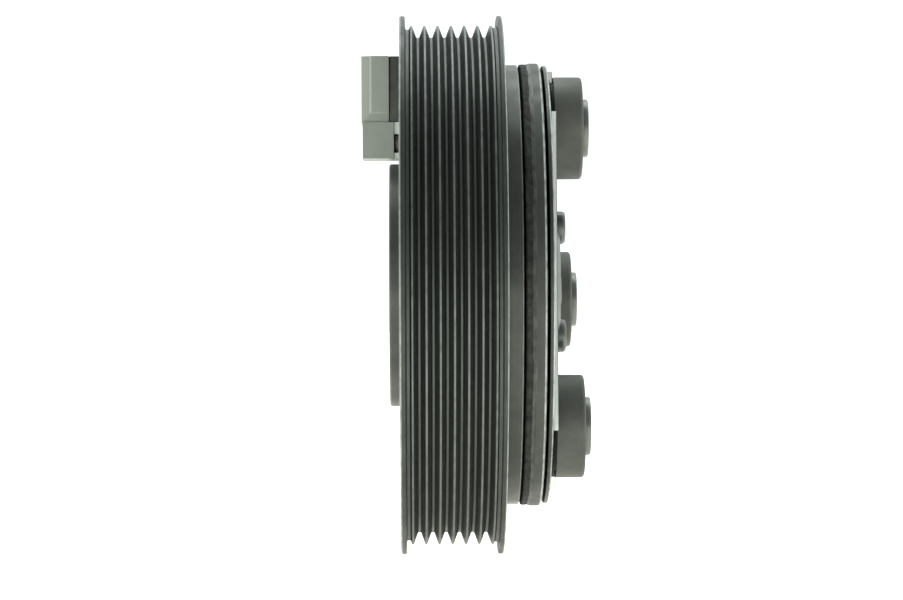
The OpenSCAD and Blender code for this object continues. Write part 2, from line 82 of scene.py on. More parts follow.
# Lengths below are in millimetres unless a comment says otherwise. Blender works in metres.
MM = 0.001
NODES = frame["nodes"]
SLOT_OF = {s["node"]: s["material_slot"] for s in frame["record"]["subparts"]}
BODY_OF = {n: body for body, names in frame["record"]["behaviour"]["bodies"].items() for n in names}
CUPS = (1, 2, 3)
SHARP = math.radians(32)
TORN_WIDTH = 1.8


# ---------------------------------------------------------------- measuring the frame

class Extent:
    """How far a node reaches along X and from a line parallel to X through centre, in millimetres."""

    def __init__(self, node, centre=(0.0, 0.0)):
        points = [v.co / MM for v in NODES[node].data.vertices]
        radii = [math.hypot(p.y - centre[0], p.z - centre[1]) for p in points]
        self.rear = min(p.x for p in points)
        self.front = max(p.x for p in points)
        self.hole = min(radii)
        self.radius = max(radii)
        self.centre = centre


def centre_of(node):
    """The (y, z) centre of a node that is round about its own line parallel to X."""
    low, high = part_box(node)
    middle = (low + high) / 2 / MM
    return (middle.y, middle.z)


# ---------------------------------------------------------------- camera

def make_camera():
    """Level and square to the spin axis, a little behind the rim's middle, as the clutch was photographed."""
    rim_low, rim_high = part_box("pulley_rim")
    rim_middle = (rim_low.x + rim_high.x) / 2 / MM
    distance = 880
    behind_middle = 10.5
    below_axis = 4.06
    aim_past_middle = 0.15
    roll_degrees = -0.23
    picture_px = 903
    px_per_mm_at_near_rim = 4.016
    near_rim = 70
    focal_px = px_per_mm_at_near_rim * (distance - near_rim)
    data = bpy.data.cameras.new("camera")
    data.lens = focal_px * data.sensor_width / picture_px
    data.clip_start = 0.05
    data.clip_end = 50
    camera = bpy.data.objects.new("camera", data)
    bpy.context.scene.collection.objects.link(camera)
    camera.location = Vector((rim_middle - behind_middle, -distance, -below_axis)) * MM
    aim = Vector((rim_middle + aim_past_middle, 0, -below_axis)) * MM
    camera.rotation_euler = (aim - camera.location).to_track_quat("-Z", "Y").to_euler()
    camera.rotation_euler.rotate_axis("Z", math.radians(roll_degrees))
    bpy.context.scene.camera = camera


make_camera()


# ---------------------------------------------------------------- procedural materials

class Look:
    """One procedural material: a Principled shader whose textures lie in the object's own coordinates."""

    def __init__(self, name, metallic=0.0, centre=(0.0, 0.0)):
        self.material = bpy.data.materials.new(name)
        self.material.use_nodes = True
        self.tree = self.material.node_tree
        self.shader = self.tree.nodes["Principled BSDF"]
        self.set("Metallic", metallic)
        coordinates = self.add("ShaderNodeTexCoord")
        shift = self.add("ShaderNodeVectorMath", operation="SUBTRACT")
        self.join(coordinates.outputs["Object"], shift.inputs[0])
        shift.inputs[1].default_value = (0, centre[0] * MM, centre[1] * MM)
        self.place = shift.outputs[0]
        parts = self.add("ShaderNodeSeparateXYZ")
        self.join(self.place, parts.inputs[0])
        self.x, self.y, self.z = parts.outputs
        self.radius = self.math("SQRT", self.math("ADD", self.math("MULTIPLY", self.y, self.y),
                                                  self.math("MULTIPLY", self.z, self.z)))

    def add(self, kind, **settings):
        node = self.tree.nodes.new(kind)
        for key, value in settings.items():
            setattr(node, key, value)
        return node

    def join(self, output, socket):
        self.tree.links.new(output, socket)

    def feed(self, value, socket):
        """Gives a socket a number, a colour or another node's output."""
        if isinstance(value, bpy.types.NodeSocket):
            self.join(value, socket)
        else:
            socket.default_value = value

    def set(self, name, value):
        self.shader.inputs[name].default_value = value

    def math(self, operation, a, b=0.0):
        node = self.add("ShaderNodeMath", operation=operation)
        self.feed(a, node.inputs[0])
        self.feed(b, node.inputs[1])
        return node.outputs[0]

    def noise(self, scale, detail=4.0, roughness=0.55, where=None, stretch=(1, 1, 1)):
        """Noise from 0 to 1. The scale is in cycles per metre."""
        mapping = self.add("ShaderNodeMapping")
        self.join(where or self.place, mapping.inputs["Vector"])
        mapping.inputs["Scale"].default_value = stretch
        texture = self.add("ShaderNodeTexNoise")
        self.join(mapping.outputs[0], texture.inputs["Vector"])
        texture.inputs["Scale"].default_value = scale
        texture.inputs["Detail"].default_value = detail
        texture.inputs["Roughness"].default_value = roughness
        return texture.outputs["Fac"]

    def rings(self, scale):
        """Fine marks that run round the turning axis, as a lathe or a brush leaves them."""
        joined = self.add("ShaderNodeCombineXYZ")
        self.join(self.x, joined.inputs[0])
        self.join(self.radius, joined.inputs[1])
        return self.noise(scale, detail=3.0, roughness=0.7, where=joined.outputs[0])

    def ramp(self, value, low, high, start=0.0, end=1.0):
        """Maps value from low..high to start..end, held at both ends."""
        node = self.add("ShaderNodeMapRange")
        self.feed(value, node.inputs["Value"])
        for name, number in (("From Min", low), ("From Max", high), ("To Min", start), ("To Max", end)):
            self.feed(number, node.inputs[name])
        return node.outputs[0]

    def mix(self, share, a, b):
        """Colour a where share is 0, and b where it is 1."""
        node = self.add("ShaderNodeMix", data_type="RGBA")
        self.feed(share, node.inputs[0])
        self.feed(a, node.inputs[6])
        self.feed(b, node.inputs[7])
        return node.outputs[2]

    def colour(self, value):
        self.join(value, self.shader.inputs["Base Color"])

    def roughness(self, value):
        self.join(value, self.shader.inputs["Roughness"])

    def source(self, name):
        """What feeds one of the shader's sockets so far."""
        return self.shader.inputs[name].links[0].from_socket

    def band(self, value, start, end, fade=0.1):
        """1 where value lies between start and end, fading to 0 over fade on either side, in millimetres."""
        rise = self.ramp(value, (start - fade) * MM, start * MM)
        fall = self.ramp(value, end * MM, (end + fade) * MM, 1.0, 0.0)
        return self.math("MULTIPLY", rise, fall)

    def wear_and_painted_light(self, share, bare_or_lit, least=0.5):
        """Lays a lighter colour over the base in patches, where share is 1: uncoated metal in some uses,
        painted light or a painted highlight in others.
        """
        patches = self.ramp(self.noise(300, detail=5), 0.3, 0.6, least, 1.0)
        self.colour(self.mix(self.math("MULTIPLY", share, patches), self.source("Base Color"), bare_or_lit))

    def bump(self, height, depth):
        """Depth is in millimetres, for a height from 0 to 1."""
        node = self.add("ShaderNodeBump")
        node.inputs["Distance"].default_value = depth * MM
        node.inputs["Strength"].default_value = 1.0
        self.join(height, node.inputs["Height"])
        self.join(node.outputs[0], self.shader.inputs["Normal"])


def rgb(red, green, blue):
    return (red, green, blue, 1.0)


def turned_steel(name, dark, light, smooth=0.3, rough=0.5, centre=(0.0, 0.0), marks=5000, depth=0.012,
                 metallic=0.9):
    """Dark machined or drawn steel: rings from the tool, a mottled oxide and finger-sized dull patches."""
    look = Look(name, metallic=metallic, centre=centre)
    mottle = look.ramp(look.noise(140, detail=6), 0.35, 0.68)
    grain = look.noise(2600, detail=3)
    rings = look.rings(marks)
    tone = look.math("ADD", look.math("MULTIPLY", mottle, 0.6), look.math("MULTIPLY", rings, 0.4))
    look.colour(look.mix(tone, dark, light))
    look.roughness(look.ramp(look.noise(90, detail=5), 0.3, 0.7, smooth, rough))
    look.bump(look.math("ADD", look.math("MULTIPLY", rings, 0.7), look.math("MULTIPLY", grain, 0.3)), depth)
    return look


def moulded(name, dark, light, smooth, rough, grain=1800, depth=0.02, sheen=0.0):
    """Moulded plastic, rubber or resin: a fine even texture with faint flow shading."""
    look = Look(name)
    flow = look.noise(70, detail=3)
    texture = look.noise(grain, detail=4)
    look.colour(look.mix(look.ramp(flow, 0.3, 0.7), dark, light))
    look.roughness(look.ramp(texture, 0.3, 0.7, smooth, rough))
    look.set("Sheen Weight", sheen)
    look.bump(texture, depth)
    return look


def cast_finish(name, dark, light, smooth, rough, metallic=1.0, grain=900, depth=0.01):
    """Sheet or rolled metal with a fine, even, mottled finish."""
    look = Look(name, metallic=metallic)
    cloud = look.noise(60, detail=3)
    texture = look.noise(grain, detail=5)
    scratches = look.noise(500, detail=4, stretch=(1, 1, 0.06))
    tone = look.math("ADD", look.math("MULTIPLY", cloud, 0.4), look.math("MULTIPLY", scratches, 0.6))
    look.colour(look.mix(look.ramp(tone, 0.3, 0.7), dark, light))
    look.roughness(look.ramp(texture, 0.3, 0.7, smooth, rough))
    look.bump(texture, depth)
    return look


def pulley_steel_painted_lit(name, rim):
    """A dark coating with painted light: lighter over the grooves to lift their shade, and painted highlights
    along the crests and the flanges' outer edges.
    """
    look = turned_steel(name, rgb(.046, .052, .048), rgb(.076, .083, .077), 0.38, 0.54)
    crest = rim.radius - 2.6
    # Painted light: the grooves' flanks and valleys are lighter, to lift the shade that falls in them.
    look.wear_and_painted_light(look.band(look.radius, crest - 3.4, crest - 0.35, 0.3), rgb(.105, .114, .108), least=0.9)
    # Painted highlight: a thin light line along each crest.
    look.wear_and_painted_light(look.band(look.radius, crest - 0.04, crest + 0.1), rgb(.165, .18, .172))
    # Painted highlight along the outer edge of each flange.
    rear_edge = look.band(look.x, rim.rear - 1, rim.rear + 0.3, 0.2)
    front_edge = look.band(look.x, rim.front - 0.2, rim.front + 1, 0.2)
    rim_edge = look.band(look.radius, rim.radius - 0.5, rim.radius + 1, 0.3)
    look.wear_and_painted_light(look.math("MULTIPLY", look.math("ADD", rear_edge, front_edge), rim_edge), rgb(.33, .36, .345))
    return look


def rotor_steel_painted_edge(name, rotor):
    """Dark turned steel, with a painted highlight along the drum's front edge."""
    look = turned_steel(name, rgb(.056, .061, .056), rgb(.092, .098, .089), 0.3, 0.46)
    # Painted highlight: a light band where the drum's front edge is rounded.
    on_drum = look.band(look.radius, rotor.radius - 0.6, rotor.radius + 1)
    look.wear_and_painted_light(look.math("MULTIPLY", look.band(look.x, rotor.front - 0.3, rotor.front + 1), on_drum),
              rgb(.2, .215, .205), least=0.3)
    return look


def torn_edge_steel(name, plate):
    """Blanked steel: dark and rough behind the tear line, then a painted highlight on the ledge, a burnished
    band, and a painted highlight along the rolled front edge.
    """
    look = turned_steel(name, rgb(.058, .063, .058), rgb(.095, .1, .092), 0.42, 0.58)
    tear_line = plate.rear + TORN_WIDTH
    wave = look.math("MULTIPLY", look.math("SUBTRACT", look.noise(70, detail=4), 0.5), 1.6 * MM)
    place = look.math("ADD", look.x, wave)
    # Painted highlight on the sloped ledge just in front of the tear line.
    look.wear_and_painted_light(look.band(place, tear_line + 0.1, tear_line + 0.7, 0.25), rgb(.17, .18, .168), least=0.2)
    # Painted highlight along the rolled front edge of the rim.
    on_rim = look.band(look.radius, plate.radius - 0.8, plate.radius + 1)
    look.wear_and_painted_light(look.math("MULTIPLY", look.band(look.x, plate.front - 0.55, plate.front + 1), on_rim),
              rgb(.4, .43, .41), least=0.3)
    tearing = look.noise(420, detail=6, roughness=0.7, stretch=(0.45, 1, 1))
    torn = look.mix(look.ramp(tearing, 0.35, 0.7), rgb(.034, .037, .034), rgb(.085, .09, .083))
    burnished = look.ramp(place, (tear_line - 0.1) * MM, (tear_line + 0.05) * MM)
    look.colour(look.mix(burnished, torn, look.source("Base Color")))
    look.roughness(look.math("MAXIMUM", look.source("Roughness"), look.ramp(burnished, 0, 1, 0.75, 0)))
    return look


def filled_plastic(name):
    """Glass-filled plastic with faint specks, and painted light on the foot where it meets the coil's plate,
    lifting the shade it sits in.
    """
    look = moulded(name, rgb(.3, .335, .3), rgb(.36, .395, .355), 0.42, 0.6)
    specks = look.ramp(look.noise(3200, detail=2), 0.6, 0.75)
    look.colour(look.mix(look.math("MULTIPLY", specks, 0.35), look.source("Base Color"), rgb(.5, .54, .5)))
    # Painted light: the foot between the block and the plate is lightened against the shade that falls there.
    look.wear_and_painted_light(look.band(look.x, 1.4, 3.0), rgb(.8, .85, .8), least=0.95)
    return look


def disc_steel_painted_edge(name, disc):
    """Dark spring steel, with a painted highlight along the front edge of its rim."""
    look = cast_finish(name, rgb(.055, .06, .056), rgb(.09, .095, .088), 0.38, 0.52)
    # Painted highlight on the rim's front edge.
    on_rim = look.band(look.radius, disc.radius - 0.3, disc.radius + 1)
    look.wear_and_painted_light(look.math("MULTIPLY", look.band(look.x, disc.front - 0.3, disc.front + 1), on_rim),
              rgb(.45, .49, .47), least=0.4)
    return look


def sheared_zinc(name, plate):
    """Dull zinc-coated sheet, with its sheared edges near-white: uncoated steel, made brighter still as a
    painted reflection of the bright surroundings.
    """
    look = cast_finish(name, rgb(.2, .215, .205), rgb(.27, .287, .272), 0.36, 0.5, grain=1500)
    # The sheared edges: uncoated steel, lightened further as a painted reflection.
    look.wear_and_painted_light(look.band(look.x, plate.rear + 0.2, plate.front - 0.2), rgb(.84, .88, .855), least=0.9)
    return look


def make_looks():
    looks = {}
    looks["pulley_steel"] = pulley_steel_painted_lit("pulley_steel", Extent("pulley_rim"))
    looks["rotor_steel"] = rotor_steel_painted_edge("rotor_steel", Extent("rotor_body"))
    looks["friction_lining"] = moulded("friction_lining", rgb(.05, .045, .04), rgb(.09, .08, .07), 0.7, 0.9)
    looks["armature_steel"] = torn_edge_steel("armature_steel", Extent("armature_plate"))
    looks["disc_steel"] = disc_steel_painted_edge("disc_steel", Extent("hub_disc"))
    looks["spider_zinc"] = sheared_zinc("spider_zinc", Extent("spider_plate"))
    looks["hub_steel"] = turned_steel("hub_steel", rgb(.08, .087, .08), rgb(.14, .148, .14), 0.3, 0.45)
    looks["rivet_steel"] = cast_finish("rivet_steel", rgb(.09, .097, .092), rgb(.17, .18, .17), 0.32, 0.48)
    looks["damper_rubber"] = moulded("damper_rubber", rgb(.008, .008, .008), rgb(.016, .016, .016),
                                     0.55, 0.75)
    looks["plate_steel"] = turned_steel("plate_steel", rgb(.09, .097, .09), rgb(.15, .155, .144), 0.42, 0.58)
    looks["shell_steel"] = turned_steel("shell_steel", rgb(.1, .105, .1), rgb(.15, .155, .15), 0.45, 0.6)
    looks["plate_rivet_steel"] = cast_finish("plate_rivet_steel", rgb(.14, .147, .14), rgb(.21, .22, .21),
                                             0.34, 0.48)
    looks["connector_plastic"] = filled_plastic("connector_plastic")
    looks["terminal_brass"] = cast_finish("terminal_brass", rgb(.55, .43, .2), rgb(.7, .6, .38), 0.2, 0.35)
    # The grommet's grey is set a little lighter than the rubber's own to lift the shade round the plug:
    # partly painted light.
    looks["grommet_rubber"] = moulded("grommet_rubber", rgb(.11, .115, .11), rgb(.15, .155, .15), 0.45, 0.65)
    looks["lead_insulation"] = moulded("lead_insulation", rgb(.02, .02, .02), rgb(.04, .04, .04), 0.35, 0.5)
    looks["winding_copper"] = turned_steel("winding_copper", rgb(.35, .11, .05), rgb(.6, .25, .12), 0.25, 0.4)
    looks["bobbin_plastic"] = moulded("bobbin_plastic", rgb(.5, .48, .38), rgb(.6, .57, .47), 0.45, 0.6)
    looks["potting_resin"] = moulded("potting_resin", rgb(.012, .012, .012), rgb(.02, .02, .02),
                                     0.15, 0.3, 300)
    looks["bearing_steel"] = turned_steel("bearing_steel", rgb(.24, .247, .25), rgb(.32, .327, .33), 0.2, 0.3)
    looks["ball_steel"] = turned_steel("ball_steel", rgb(.55, .56, .57), rgb(.62, .63, .64), 0.05, 0.1,
                                       depth=0.001)
    looks["cage_plastic"] = moulded("cage_plastic", rgb(.2, .11, .05), rgb(.27, .16, .08), 0.4, 0.55)
    looks["seal_rubber"] = moulded("seal_rubber", rgb(.09, .03, .015), rgb(.13, .05, .03), 0.5, 0.65)
    looks["spring_steel"] = cast_finish("spring_steel", rgb(.05, .05, .055), rgb(.09, .09, .095), 0.3, 0.45)
    looks["shim_brass"] = cast_finish("shim_brass", rgb(.5, .38, .16), rgb(.6, .48, .24), 0.25, 0.4)
    return looks


LOOKS = make_looks()


def paint(piece, look):
    piece.data.materials.clear()
    piece.data.materials.append(look.material)


# ---------------------------------------------------------------- mesh tools

def new_object(name, mesh_data):
    """An object from a bmesh, with smooth faces and sharp edges where the shape turns."""
    bmesh.ops.remove_doubles(mesh_data, verts=mesh_data.verts, dist=0.002 * MM)
    bmesh.ops.recalc_face_normals(mesh_data, faces=mesh_data.faces)
    mesh = bpy.data.meshes.new(name)
    mesh_data.to_mesh(mesh)
    mesh_data.free()
    mesh.shade_smooth()
    mesh.set_sharp_from_angle(angle=SHARP)
    piece = bpy.data.objects.new(name, mesh)
    bpy.context.scene.collection.objects.link(piece)
    return piece


def rounded(corners, steps=4):
    """A closed outline from (x, r, rounding) corners, with an arc at every corner that has a rounding."""
    outline = []
    for i, (x, r, rounding) in enumerate(corners):
        here = Vector((x, r))
        to_last = Vector(corners[i - 1][:2]) - here
        to_next = Vector(corners[(i + 1) % len(corners)][:2]) - here
        half = to_last.angle(to_next) / 2
        reach = min(rounding / math.tan(half), 0.48 * to_last.length, 0.48 * to_next.length)
        if reach <= 0:
            outline.append(here)
            continue
        start = here + to_last.normalized() * reach
        end = here + to_next.normalized() * reach
        centre = here + (to_last.normalized() + to_next.normalized()).normalized() * (reach / math.cos(half))
        spoke, last_spoke = start - centre, end - centre
        turn = spoke.angle_signed(last_spoke)
        for k in range(steps + 1):
            angle = -turn * k / steps
            outline.append(centre + Matrix.Rotation(angle, 2) @ spoke)
    return outline


def lathe(name, outline, segments=256, centre=(0.0, 0.0), wobble=None):
    """A closed solid turned round a line along X through centre, from (x, r) points in millimetres."""
    data = bmesh.new()
    loops = []
    for s in range(segments):
        angle = 2 * math.pi * s / segments
        loop = []
        for x, r in outline:
            if wobble:
                x, r = wobble(x, r, angle)
            point = Vector((x, centre[0] + r * math.cos(angle), centre[1] + r * math.sin(angle)))
            loop.append(data.verts.new(point * MM))
        loops.append(loop)
    count = len(outline)
    for s in range(segments):
        a, b = loops[s], loops[(s + 1) % segments]
        for i in range(count):
            j = (i + 1) % count
            data.faces.new((a[i], a[j], b[j], b[i]))
    return new_object(name, data)


def rod(rear, front, radius, centre=(0.0, 0.0), segments=96):
    return lathe("rod", [(rear, 0), (rear, radius), (front, radius), (front, 0)], segments, centre)


def prism(outline, rear, front):
    """A solid from an outline of (y, z) points, between two positions along X."""
    data = bmesh.new()
    rear_loop, front_loop = ([data.verts.new(Vector((x, y, z)) * MM) for y, z in outline]
                             for x in (rear, front))
    data.faces.new(rear_loop)
    data.faces.new(front_loop)
    for i in range(len(outline)):
        j = (i + 1) % len(outline)
        data.faces.new((rear_loop[i], rear_loop[j], front_loop[j], front_loop[i]))
    return new_object("prism", data)


def convex(points):
    """The convex solid round a few points."""
    data = bmesh.new()
    for point in points:
        data.verts.new(Vector(point) * MM)
    bmesh.ops.convex_hull(data, input=data.verts)
    bmesh.ops.dissolve_limit(data, angle_limit=math.radians(1), verts=data.verts, edges=data.edges)
    return new_object("convex", data)


def block(low, high):
    """A block between its lowest and its highest corner."""
    corners = [(low[1], low[2]), (high[1], low[2]), (high[1], high[2]), (low[1], high[2])]
    return prism(corners, low[0], high[0])


def join(name, pieces):
    """One object from several, for the identical parts that share a node."""
    data = bmesh.new()
    for piece in pieces:
        data.from_mesh(piece.data)
        bpy.data.objects.remove(piece)
    return new_object(name, data)


def apply_modifiers(piece):
    evaluated = piece.evaluated_get(bpy.context.evaluated_depsgraph_get())
    mesh = bpy.data.meshes.new_from_object(evaluated)
    piece.modifiers.clear()
    piece.data = mesh


def combine(piece, others, operation):
    """Takes the other solids out of the piece, or adds them to it, and removes them."""
    for other in others:
        modifier = piece.modifiers.new("combine", "BOOLEAN")
        modifier.operation = operation
        modifier.solver = "EXACT"
        modifier.object = other
    apply_modifiers(piece)
    for other in others:
        bpy.data.objects.remove(other)
    piece.data.shade_smooth()
    piece.data.set_sharp_from_angle(angle=SHARP)


def cut(piece, others):
    combine(piece, others, "DIFFERENCE")


def weld(piece, others):
    combine(piece, others, "UNION")


def bevel(piece, width, segments=3):
    """Rounds every edge sharper than a gentle curve's facets."""
    modifier = piece.modifiers.new("bevel", "BEVEL")
    modifier.width = width * MM
    modifier.segments = segments
    modifier.limit_method = "ANGLE"
    modifier.angle_limit = math.radians(40)
    apply_modifiers(piece)
    piece.data.shade_smooth()
    piece.data.set_sharp_from_angle(angle=math.radians(46))


def flatten_normals(piece):
    """Lets large faces set the shading, so that only the rounded edges between them look curved."""
    modifier = piece.modifiers.new("normals", "WEIGHTED_NORMAL")
    modifier.keep_sharp = True
    apply_modifiers(piece)


def stand_for(piece, node, look=None):
    """The piece takes the place, body and finish of a CAD node."""
    piece.name = f"{node}_detailed"
    flatten_normals(piece)
    paint(piece, look or LOOKS[SLOT_OF[node]])
    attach(piece, BODY_OF[node])
    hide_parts(node)


def soften(node, width):
    """The CAD node's own shape, with its edges broken."""
    data = bmesh.new()
    data.from_mesh(NODES[node].data)
    bmesh.ops.remove_doubles(data, verts=data.verts, dist=0.002 * MM)
    bmesh.ops.dissolve_limit(data, angle_limit=math.radians(1), verts=data.verts, edges=data.edges)
    piece = new_object(node, data)
    bevel(piece, width, segments=2)
    stand_for(piece, node)


# ---------------------------------------------------------------- pulley rim

def make_pulley_rim():
    rim = Extent("pulley_rim")
    rib_pitch = 3.56
    groove_count = 6
    groove_depth = 3.2
    groove_half_angle = math.radians(20)
    crest_width = 0.5
    crest_round = 0.12
    flange_above_crest = 2.6
    first_crest_from_rear = 3.2
    rear_flange = 1.5
    front_flange = 1.25
    rim_inside = 63.2
    web_rear_from_front = 5.0
    web_front_from_front = 1.0
    crest = rim.radius - flange_above_crest
    valley = crest - groove_depth
    first = rim.rear + first_crest_from_rear
    half_crest = crest_width / 2
    half_valley = rib_pitch / 2 - half_crest - groove_depth * math.tan(groove_half_angle)
    corners = [
        (rim.rear, rim_inside, 0.5),
        (rim.rear, rim.radius, 0.45),
        (rim.rear + rear_flange, rim.radius, 0.35),
        (rim.rear + rear_flange + 0.15, crest - 1.0, 0.3),
        (first - half_crest - 0.35, crest - 1.0, 0.2),
    ]
    for i in range(groove_count + 1):
        x = first + i * rib_pitch
        corners += [(x - half_crest, crest, crest_round), (x + half_crest, crest, crest_round)]
        if i < groove_count:
            middle = x + rib_pitch / 2
            corners += [(middle - half_valley, valley, 0.3), (middle + half_valley, valley, 0.3)]
    last = first + groove_count * rib_pitch
    corners += [
        (last + half_crest + 0.25, crest - 0.6, 0.2),
        (rim.front - front_flange - 0.15, crest - 0.6, 0.25),
        (rim.front - front_flange, rim.radius, 0.3),
        (rim.front, rim.radius, 0.4),
        (rim.front, rim_inside, 0.6),
        (rim.front - web_front_from_front, rim_inside - 0.5, 0.5),
        (rim.front - web_front_from_front, rim.hole, 0),
        (rim.front - web_rear_from_front, rim.hole, 0),
        (rim.front - web_rear_from_front, rim_inside, 1.0),
    ]
    stand_for(lathe("rim", rounded(corners), segments=384), "pulley_rim")


def arc_slot(inner, outer, middle_angle, span, rear, front):
    """A slot along an arc about the spin axis, with round ends, to cut with. Angles are in degrees."""
    middle, half = (inner + outer) / 2, (outer - inner) / 2
    start, end = math.radians(middle_angle - span / 2), math.radians(middle_angle + span / 2)
    arc_steps = 24
    end_steps = 8

    def arc(radius, first, last):
        angles = [first + (last - first) * k / arc_steps for k in range(arc_steps + 1)]
        return [(radius * math.cos(angle), radius * math.sin(angle)) for angle in angles]

    def round_end(angle, along):
        points = []
        for k in range(1, end_steps):
            turn = math.pi * k / end_steps
            radial = middle + along * half * math.cos(turn)
            side = along * half * math.sin(turn)
            points.append((radial * math.cos(angle) - side * math.sin(angle),
                           radial * math.sin(angle) + side * math.cos(angle)))
        return points

    outline = arc(outer, start, end) + round_end(end, 1) + arc(inner, end, start) + round_end(start, -1)
    return prism(outline, rear, front)


def make_rotor_body():
    """Drum, friction wall and bearing wall in one turned piece, with two rings of flux slots in the face."""
    rotor = Extent("rotor_body")
    lining = Extent("friction_ring")
    outer_ring = Extent("bearing_outer_ring")
    snap = Extent("bearing_snap_ring")
    seat = outer_ring.radius
    snap_seat = snap.radius + 0.1
    wall_rear = rotor.front - 4.0
    corners = [
        (rotor.rear + 0.1, seat, 0.4),
        (rotor.rear + 0.1, 33.0, 0.5),
        (wall_rear, 33.0, 1.5),
        (wall_rear, 54.8, 1.5),
        (rotor.rear, 54.8, 0.3),
        (rotor.rear, rotor.radius, 0.4),
        (rotor.front, rotor.radius, 0.45),
        (rotor.front, lining.radius, 0.1),
        (lining.rear, lining.radius, 0),
        (lining.rear, lining.hole, 0),
        (rotor.front, lining.hole, 0.1),
        (rotor.front, 31.0, 0.4),
        (rotor.front - 1.4, 31.0, 0.4),
        (outer_ring.front + 2.0, rotor.hole, 0.3),
        (outer_ring.front, rotor.hole, 0.3),
        (outer_ring.front, seat, 0.2),
        (snap.front, seat, 0.1),
        (snap.front, snap_seat, 0.1),
        (snap.rear, snap_seat, 0.1),
        (snap.rear, seat, 0.1),
    ]
    piece = lathe("rotor", rounded(corners), segments=384)
    slots = []
    for i in range(6):
        slots.append(arc_slot(49.5, 52.0, 90 + i * 60, 44, wall_rear - 1, rotor.front + 1))
        slots.append(arc_slot(38.5, 41.0, 120 + i * 60, 44, wall_rear - 1, rotor.front + 1))
    cut(piece, slots)
    stand_for(piece, "rotor_body")


# ---------------------------------------------------------------- armature, disc and dampers

def make_armature_plate():
    """A blanked plate: the front edge is rolled in by the punch and the rear of the edge is torn."""
    plate = Extent("armature_plate")
    tear_line = plate.rear + TORN_WIDTH

    def torn(x, r, angle):
        if r < plate.radius - 1.5 or x > tear_line + 0.3:
            return x, r
        around = Vector((math.cos(angle), math.sin(angle), 0))
        if x > tear_line - 0.3:
            return x + 0.25 * noise.noise(around * 9), r
        grain = noise.fractal(around * 40 + Vector((0, 0, x * 1.5)), 0.8, 2.0, 4)
        return x, r - 0.3 + 0.16 * grain

    edge_steps = [(plate.rear + TORN_WIDTH * k / 6, plate.radius, 0) for k in range(1, 6)]
    corners = [
        (plate.rear, plate.hole, 0.3),
        (plate.rear, plate.radius - 0.2, 0.2),
        *edge_steps,
        (tear_line, plate.radius - 0.3, 0),
        (tear_line + 0.8, plate.radius, 0.3),
        (plate.front, plate.radius, 0.9),
        (plate.front, plate.hole, 0.3),
    ]
    piece = lathe("armature", rounded(corners, steps=6), segments=720, wobble=torn)
    holes = []
    for i in CUPS:
        centre = centre_of(f"damper_pin_{i}")
        holes.append(rod(plate.rear - 1, plate.front + 1, 4.0, centre))
        holes.append(rod(plate.rear - 1, plate.rear + 1.4, 5.4, centre))
        opposite = math.degrees(math.atan2(centre[1], centre[0])) + 180
        holes.append(arc_slot(43.0, 45.5, opposite, 78, plate.rear - 1, plate.front + 1))
    cut(piece, holes)
    stand_for(piece, "armature_plate")


def make_hub_disc():
    disc = Extent("hub_disc")
    corners = [
        (disc.rear, disc.hole, 0),
        (disc.rear, disc.radius, 0.18),
        (disc.front, disc.radius, 0.35),
        (disc.front, disc.hole, 0),
    ]
    piece = lathe("disc", rounded(corners), segments=384)
    pin_hole = 6.2
    cut(piece, [rod(disc.rear - 1, disc.front + 1, pin_hole, centre_of(f"damper_pin_{i}")) for i in CUPS])
    stand_for(piece, "hub_disc")


def make_spider_plate():
    """A sheet with a rounded notch round each cup and a straight side between each two cups."""
    plate = Extent("spider_plate")
    rear, front = plate.rear - 1, plate.front + 1
    corners = [(plate.rear, plate.hole), (plate.rear, plate.radius),
               (plate.front, plate.radius), (plate.front, plate.hole)]
    piece = lathe("spider", corners, segments=192)
    notch = 14.3
    reach = 2 * plate.radius
    cutters = []
    for i in CUPS:
        cup = Vector(centre_of(f"damper_cup_{i}"))
        out = cup.normalized()
        side = Vector((-out.y, out.x))
        half_mouth = math.radians(53.6)
        corner_a = cup + reach * (math.cos(half_mouth) * out + math.sin(half_mouth) * side)
        corner_b = cup + reach * (math.cos(half_mouth) * out - math.sin(half_mouth) * side)
        cutters.append(rod(rear, front, notch, cup))
        cutters.append(prism([cup, corner_a, corner_b], rear, front))
        flat = -40.5 * out
        cutters.append(prism([flat + reach * side, flat - reach * side, flat - reach * side - reach * out,
                              flat + reach * side - reach * out], rear, front))
    cut(piece, cutters)
    bevel(piece, 0.15)
    stand_for(piece, "spider_plate")


def make_hub():
    """A sleeve with a flange in front, sunk flat round each rivet, and a keyed bore."""
    hub = Extent("hub")
    spider = Extent("spider_plate")
    disc = Extent("hub_disc")
    flange_rim = spider.front + 0.8
    corners = [
        (hub.rear, hub.hole, 0.5),
        (hub.rear, disc.hole, 0.5),
        (spider.front, disc.hole, 0),
        (spider.front, hub.radius, 0.15),
        (flange_rim, hub.radius, 0.25),
        (hub.front, hub.radius - 4, 0.4),
        (hub.front, 8.5, 0.4),
        (disc.rear, 8.5, 0.3),
        (disc.rear, hub.hole, 0.4),
    ]
    piece = lathe("hub", rounded(corners), segments=256)
    rivet_line = 16.8 / math.hypot(*centre_of("damper_cup_1"))
    cutters = [block((hub.rear - 1, -1.5, 0), (disc.rear + 1, 1.5, hub.hole + 1.3))]
    rivets = []
    for i in CUPS:
        centre = Vector(centre_of(f"damper_cup_{i}")) * rivet_line
        cutters.append(rod(flange_rim, hub.front + 1, 4.5, centre))
        rivets.append(make_hub_rivet(disc.rear, flange_rim, centre))
    cut(piece, cutters)
    stand_for(piece, "hub")
    stand_for(join("rivets", rivets), "hub_rivets")


